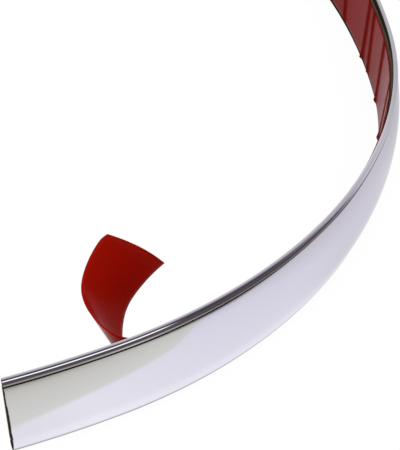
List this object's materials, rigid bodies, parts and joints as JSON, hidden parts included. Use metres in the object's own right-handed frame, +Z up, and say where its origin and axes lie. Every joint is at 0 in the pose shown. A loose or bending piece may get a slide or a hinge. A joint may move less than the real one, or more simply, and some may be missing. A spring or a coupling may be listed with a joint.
{
  "type": "chrome trim strip",
  "caption": "Flexible chrome-faced trim moulding with a beaded upper edge, foam adhesive tape and red release film, standing on edge in a loose open loop.",
  "frame": {"origin": "foot of the near cut end, on the floor, under the middle of the moulding's flat sole", "axes": "+X along the strip at the near end, +Y inwards, towards the inside of the loop, +Z up"},
  "size_m": [0.4356, 0.363, 0.0289],
  "materials": {
    "chrome_film": "bright chrome film over dark plastic, smooth",
    "foam": "dark olive grey acrylic foam, matt",
    "red_film": "thin red polyester film, glossy, creased"
  },
  "bodies": {
    "root": {"chrome_moulding": "chrome_film", "foam_tape": "foam", "release_film": "red_film"}
  },
  "joints": []
}
